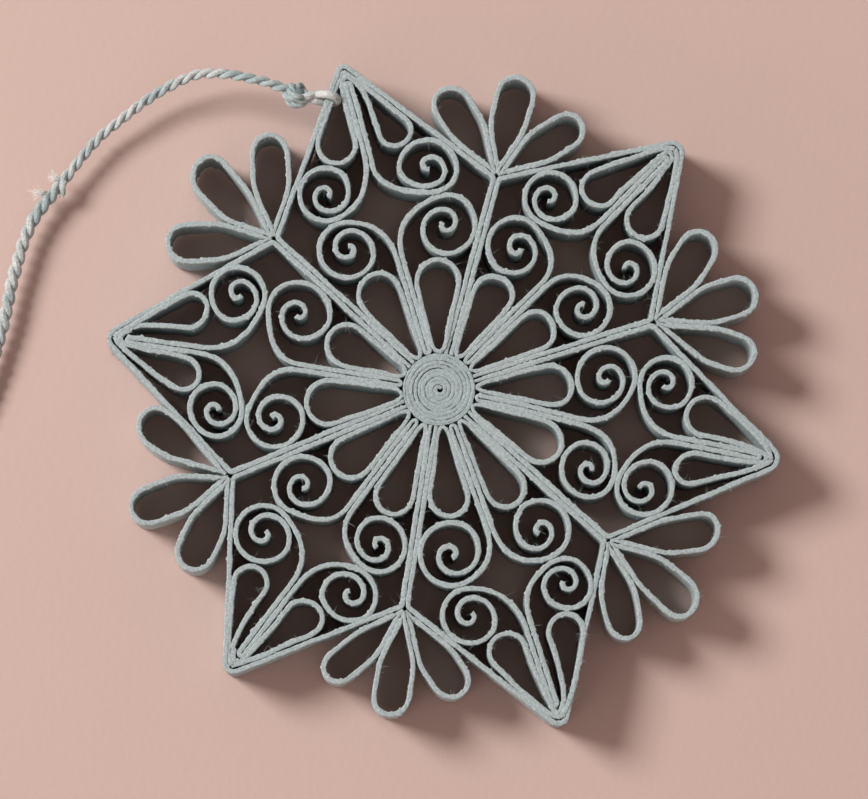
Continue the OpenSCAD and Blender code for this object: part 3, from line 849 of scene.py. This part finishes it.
def plied(path, strand_r, offset, lay, thickness=None):
    """Two strands wound round the path: points, faces, the strands' middle lines and the share of painted shade at
    each point, deepest between the strands. thickness(line) gives the share of their thickness at each station."""
    line = resampled(path, YARN_STATION)
    share = (np.ones(len(line)) if thickness is None else thickness(line))[:, None]
    strand_r, offset = strand_r * share, offset * share
    reach = np.repeat(offset + strand_r, YARN_SIDES)
    _, across, over = carried_frames(line)
    s = np.arange(len(line)) * YARN_STATION
    points, faces, lines, grooves = [], [], [], []
    for k in (0, 1):
        a = (math.pi * k - 2 * math.pi * s / lay)[:, None]
        strand = line + offset * (across * np.cos(a) + over * np.sin(a))
        ring, count = yarn(strand, strand_r)
        faces += tube_faces(count, YARN_SIDES, sum(len(p) for p in points))
        points.append(ring)
        lines.append(strand)
        from_middle = np.linalg.norm(ring - np.repeat(line, YARN_SIDES, 0), axis=1)
        # painted shade, deepest near the middle where the strands meet
        grooves.append(GROOVE_SHADE_MOST * eased((from_middle / reach - GROOVE_SHADE_FROM) / GROOVE_SHADE_WIDE))
    return np.concatenate(points), faces, np.concatenate(lines), np.concatenate(grooves)


FUZZ_SPREAD = (-1.0, 0.55)   # mean and spread of the logarithm of a fibre's length
FUZZ_SHORTEST, FUZZ_LONGEST, TIE_FUZZ_LONGEST = 0.15, 1.4, 0.9
FUZZ_RADIUS = (0.007, 0.014)
CORD_FUZZ, TIE_FUZZ, KNOT_FUZZ, LOOP_FUZZ = 8, 9, 6, 7   # loose fibres per mm of strand


def fuzz(name, lines, strand_r, per_mm, longest=FUZZ_LONGEST):
    """Loose fibres that stand out of a strand of twine."""
    count = int(len(lines) * YARN_STATION * per_mm)
    picks = RNG.integers(0, len(lines), count)
    way = unit(RNG.normal(size=(count, 3)))
    roots = lines[picks] + way * strand_r * HAIR_ROOT
    lengths = np.clip(RNG.lognormal(*FUZZ_SPREAD, count), FUZZ_SHORTEST, longest)
    points, faces = fibres(roots, way, lengths, RNG.uniform(*FUZZ_RADIUS, count), curl=0.8)
    return make_object(name, above_floor(points), faces, TWINE)


# Where a broken strand comes out of the cord: root, direction and longest fibre of each tuft, and
# the points of its blunt stub
TUFTS = (((-44.6, 46.1), (-1.0, 0.9), 1.6), ((-47.1, 44.8), (-1.7, 0.4), 2.0))
TUFT_FIBRES = 150
STUB = ((-43.7, 45.7), (-44.3, 44.9), (-44.6, 43.9))
STUB_RADIUS = 0.38
STUB_HEIGHTS = (0.5, 0.5, 0.0)   # of the stub's points above the cord's middle
FRAY_RADIUS = (0.025, 0.055)


def fray(path):
    """Brushes of broken fibres beside the cord, and a stub of the broken strand."""
    def height(spot):
        return path[int(np.argmin(np.linalg.norm(path[:, :2] - spot, axis=1))), 2]

    roots, ways, lengths = [], [], []
    for spot, way, longest in TUFTS:
        foot = np.array([*spot, height(spot) + 0.3])
        roots.append(foot + RNG.normal(0, 0.2, (TUFT_FIBRES, 3)))
        ways.append(unit(unit(np.array([*way, 0.2])) + RNG.normal(0, 0.22, (TUFT_FIBRES, 3))))
        lengths.append(RNG.uniform(0.3, 1, TUFT_FIBRES) * longest)
    stub = np.array([[*spot, height(spot) + rise] for spot, rise in zip(STUB, STUB_HEIGHTS)])
    stub_points, stations = yarn(resampled(stub, YARN_STATION), STUB_RADIUS)
    broken = make_object("cord_stub", stub_points, tube_faces(stations, YARN_SIDES), WORN_TWINE)
    along = unit(stub[-1] - stub[-2])
    roots.append(stub[-1] + RNG.normal(0, 0.16, (TUFT_FIBRES // 2, 3)))
    ways.append(unit(along + RNG.normal(0, 0.3, (TUFT_FIBRES // 2, 3))))
    lengths.append(RNG.uniform(0.2, 0.6, TUFT_FIBRES // 2))
    roots = np.concatenate(roots)
    points, faces = fibres(roots, np.concatenate(ways), np.concatenate(lengths),
                           RNG.uniform(*FRAY_RADIUS, len(roots)), curl=0.35)
    brush = make_object("cord_fray", above_floor(points, 0.02), faces, FRAY)
    for piece in (broken, brush):
        placed(piece, "cord")


KNOT_STRAND, KNOT_APART = 0.18, 0.15   # a strand and its offset, as shares of a knot's radius
KNOT_TURNS = 3.1
KNOT_LEAN = 50           # degrees from the cord to the axis that it is wound round
KNOT_LAY = 2.2           # length in which its strands go once round each other, in knot radii
KNOT_SWELL = 1.04        # size of a knot beside its CAD ball
KNOT_CORE = 0.62         # radius of the ball of fibre inside, in knot radii
# share of painted shade on the ball of fibre inside a knot
KNOT_CORE_SHADE = 0.8


def knot_path(centre, size, direction):
    """The cord's way round a tight knot: slanting turns that together fill a ball."""
    reach = size * (1 - KNOT_STRAND - KNOT_APART)
    t = np.linspace(-1, 1, 160)
    climb = 0.72 * reach * t
    radius = np.sqrt(reach ** 2 - climb ** 2)
    a = math.pi * KNOT_TURNS * t
    lump = 1 + 0.07 * np.sin(2.3 * a + 1)
    winding = np.column_stack([climb, radius * lump * np.cos(a), radius * lump * np.sin(a)])
    turn = (Matrix.Rotation(math.radians(KNOT_LEAN), 3, "Z")
            @ Vector(direction).to_track_quat("X", "Z").to_matrix() @ Matrix.Rotation(0.5, 3, "Y"))
    return winding @ np.array(turn).T + centre


def knot(name, node, direction, body):
    """Knot in place of a ball-shaped CAD node, wound round an axis that leans from direction."""
    centre, radius = middle_and_radius(node)
    size = radius * KNOT_SWELL
    strand_r = size * KNOT_STRAND
    points, faces, lines, grooves = plied(knot_path(centre, size, direction), strand_r,
                                          size * KNOT_APART, KNOT_LAY * size)
    core, core_faces = knot_core(centre, size * KNOT_CORE)
    faces += [tuple(i + len(points) for i in face) for face in core_faces]
    # the ball inside the knot is darkened with painted shade
    grooves = np.concatenate([grooves, np.full(len(core), KNOT_CORE_SHADE)])
    points = above_floor(np.concatenate([points, core]), 0.02)
    placed(make_object(name, points, faces, TWINE, groove=grooves), body, node)
    placed(fuzz(name + "_fuzz", lines, strand_r, KNOT_FUZZ), body)


def knot_core(centre, radius, rings=12, sides=20):
    """Ball of fibre inside a knot, as points and faces."""
    latitude = np.linspace(-1.4, 1.4, rings)
    a = np.linspace(0, 2 * math.pi, sides, endpoint=False)
    points = np.stack([np.outer(np.cos(latitude), np.cos(a)), np.outer(np.cos(latitude), np.sin(a)),
                       np.repeat(np.sin(latitude)[:, None], sides, 1)], 2) * radius + centre
    return points.reshape(-1, 3), tube_faces(rings, sides)


NECK_INTO_KNOT = 0.9     # how far inside the knot the tie's two strands start
NECK_END = 2.3           # from the middle of the tie's loop, where its two strands part
LOOP_FROM = 40           # degrees from the direction of the knot at which the loop starts
LOOP_STEP = 20
TIE_SMOOTHING = 5


def tie():
    """Two strands from the knot that go over the wall's top edge and back through the paper."""
    ring, _, axis, knot_centre = tie_ring()
    ring_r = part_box("cord_tie")[1].z / MM - ring[2] - CAD_STRAND
    reach = float(np.linalg.norm(knot_centre - ring))
    out = (knot_centre - ring) / reach
    up = unit(np.cross(axis, out))
    # in the loop's own space: out towards the knot, along the hinge, and up
    local = []
    for x in np.linspace(reach - NECK_INTO_KNOT, NECK_END, 5):
        a = math.pi * (x - NECK_END) / (reach - NECK_INTO_KNOT - NECK_END)
        local.append((x, NECK_APART * math.cos(a), NECK_APART * math.sin(a) + 0.1))
    back = [(x, -y, -z) for x, y, z in reversed(local)]
    for degrees in range(LOOP_FROM, 361 - LOOP_FROM, LOOP_STEP):
        a = math.radians(degrees)
        across = math.pi * (degrees - LOOP_FROM) / (360 - 2 * LOOP_FROM)
        local.append((ring_r * math.cos(a) * (1 if math.cos(a) > 0 else TIE_INSIDE),
                      NECK_APART * math.cos(across), ring_r * math.sin(a)))
    path = np.array([ring + out * x + axis * y + up * z for x, y, z in local + back])
    line = resampled(path, YARN_STATION, TIE_SMOOTHING)
    points, stations = yarn(line, NECK_STRAND)
    strand = make_object("tie_strand", points, tube_faces(stations, YARN_SIDES), WORN_TWINE)
    placed(strand, "tie", "cord_tie")
    placed(fuzz("tie_fuzz", line, NECK_STRAND, TIE_FUZZ, TIE_FUZZ_LONGEST), "tie")


def cord_thickness(line):
    """Share of its thickness that the cord has: drawn tight up to its worn place, looser beyond."""
    worn = int(np.argmin(np.linalg.norm(line[:, :2] - TUFTS[0][0], axis=1)))
    beyond = (np.arange(len(line)) - worn) * YARN_STATION
    return CORD_TIGHT + (CORD_LOOSE - CORD_TIGHT) * (1 - eased(beyond / CORD_EASES + 0.5))


CORD_INTO_KNOT, CORD_INTO_END_KNOT = 0.45, 0.6   # share of the way to a knot's middle that it goes on


def cord():
    knot_centre = tie_ring()[3]
    path = tube_middle("hanging_cord", knot_centre)
    end = middle_and_radius("cord_end_knot")[0]
    first = path[0] + (knot_centre - path[0]) * CORD_INTO_KNOT
    last = path[-1] + (end - path[-1]) * CORD_INTO_END_KNOT
    path = np.concatenate([[first], path, [last]])
    points, faces, lines, grooves = plied(path, CORD_STRAND, CORD_APART, LAY, cord_thickness)
    strands = make_object("cord_strands", above_floor(points), faces, TWINE, groove=grooves)
    hairs = fuzz("cord_fuzz", lines, CORD_STRAND, CORD_FUZZ)
    fray(path)
    for piece in (strands, hairs):
        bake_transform(piece)
    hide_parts("hanging_cord")
    knot("end_knot_strands", "cord_end_knot", path[-1] - path[-3], "cord")
    end_loop(end)


def end_loop(start):
    """Loop that the star hangs by, from the end knot round and back into it."""
    centre, outer = middle_and_radius("cord_end_loop")
    radius = outer - CAD_STRAND
    towards = math.atan2(start[1] - centre[1], start[0] - centre[0])
    a = np.linspace(towards, towards + 2.02 * math.pi, 120)
    ring = np.column_stack([centre[0] + radius * np.cos(a), centre[1] + radius * np.sin(a),
                            np.full(len(a), centre[2])])
    line = resampled(ring, YARN_STATION)
    points, stations = yarn(line, LOOP_STRAND)
    strand = make_object("end_loop_strand", above_floor(points), tube_faces(stations, YARN_SIDES), TWINE)
    placed(strand, "cord", "cord_end_loop")
    placed(fuzz("end_loop_fuzz", line, LOOP_STRAND, LOOP_FUZZ), "cord")


paper_strips()
coil()
paper_fibres()
tie()
ring, _, _, knot_centre = tie_ring()
knot("knot_strands", "cord_knot", knot_centre - ring, "tie")
cord()


# ---- Floor, light and camera ----

FLOOR_SIZE = 4           # metres
FLOOR_BELOW = 0.00005    # metres, so that the floor doesn't share a plane with the paper


def stage():
    bpy.ops.mesh.primitive_plane_add(size=FLOOR_SIZE, location=(0, 0, -FLOOR_BELOW))
    floor = bpy.context.object
    floor.name = "floor"
    floor.data.materials.append(floor_material())


def from_angles(azimuth, elevation):
    """Direction towards a compass angle from +X and a height above the floor, in degrees."""
    a, e = math.radians(azimuth), math.radians(elevation)
    return Vector((math.cos(a) * math.cos(e), math.sin(a) * math.cos(e), math.sin(e)))


def lamp(name, azimuth, elevation, distance, size, power, colour):
    light = bpy.data.lights.new(name, "AREA")
    light.shape, light.size, light.energy, light.color = "DISK", size, power, colour
    thing = bpy.data.objects.new(name, light)
    way = from_angles(azimuth, elevation)
    thing.location = way * distance
    thing.rotation_mode = "QUATERNION"
    thing.rotation_quaternion = way.to_track_quat("Z", "Y")
    bpy.context.scene.collection.objects.link(thing)


def lights():
    lamp("key", azimuth=137.4, elevation=42.3, distance=1.6, size=0.6, power=25.9, colour=(1.0, 1.0, 0.98))
    lamp("fill", azimuth=205, elevation=14, distance=1.4, size=0.8, power=3.4, colour=(1.0, 0.9, 0.85))
    world = bpy.data.worlds.new("studio")
    world.use_nodes = True
    background = world.node_tree.nodes["Background"]
    background.inputs["Color"].default_value = (1.0, 0.785, 0.715, 1)
    background.inputs["Strength"].default_value = 0.385
    bpy.context.scene.world = world


CAMERA_AIM = (-1.15, -1.21, 10)   # mm
CAMERA_FROM = (241.7, 84.9)       # degrees
CAMERA_UP = 73.4                  # direction on the floor that is up in the picture, in degrees
CAMERA_DISTANCE = 0.8349          # metres
CAMERA_LENS = 237.5               # mm, on a sensor 36 mm wide


def camera():
    """Almost overhead, a little below the star in the picture, turned so that the cord's tip leans left."""
    aim = Vector(CAMERA_AIM) * MM
    back = from_angles(*CAMERA_FROM)
    up_hint = from_angles(CAMERA_UP, 0)
    data = bpy.data.cameras.new("camera")
    data.sensor_width, data.lens = 36, CAMERA_LENS
    data.clip_start, data.clip_end = 0.01, 10
    thing = bpy.data.objects.new("camera", data)
    right = (-back).cross(up_hint).normalized()
    up = right.cross(-back)
    turned = Matrix((right, up, back)).transposed().to_4x4()
    thing.matrix_world = Matrix.Translation(aim + back * CAMERA_DISTANCE) @ turned
    bpy.context.scene.collection.objects.link(thing)
    bpy.context.scene.camera = thing


stage()
lights()
camera()
bpy.context.scene.view_settings.view_transform = "Standard"
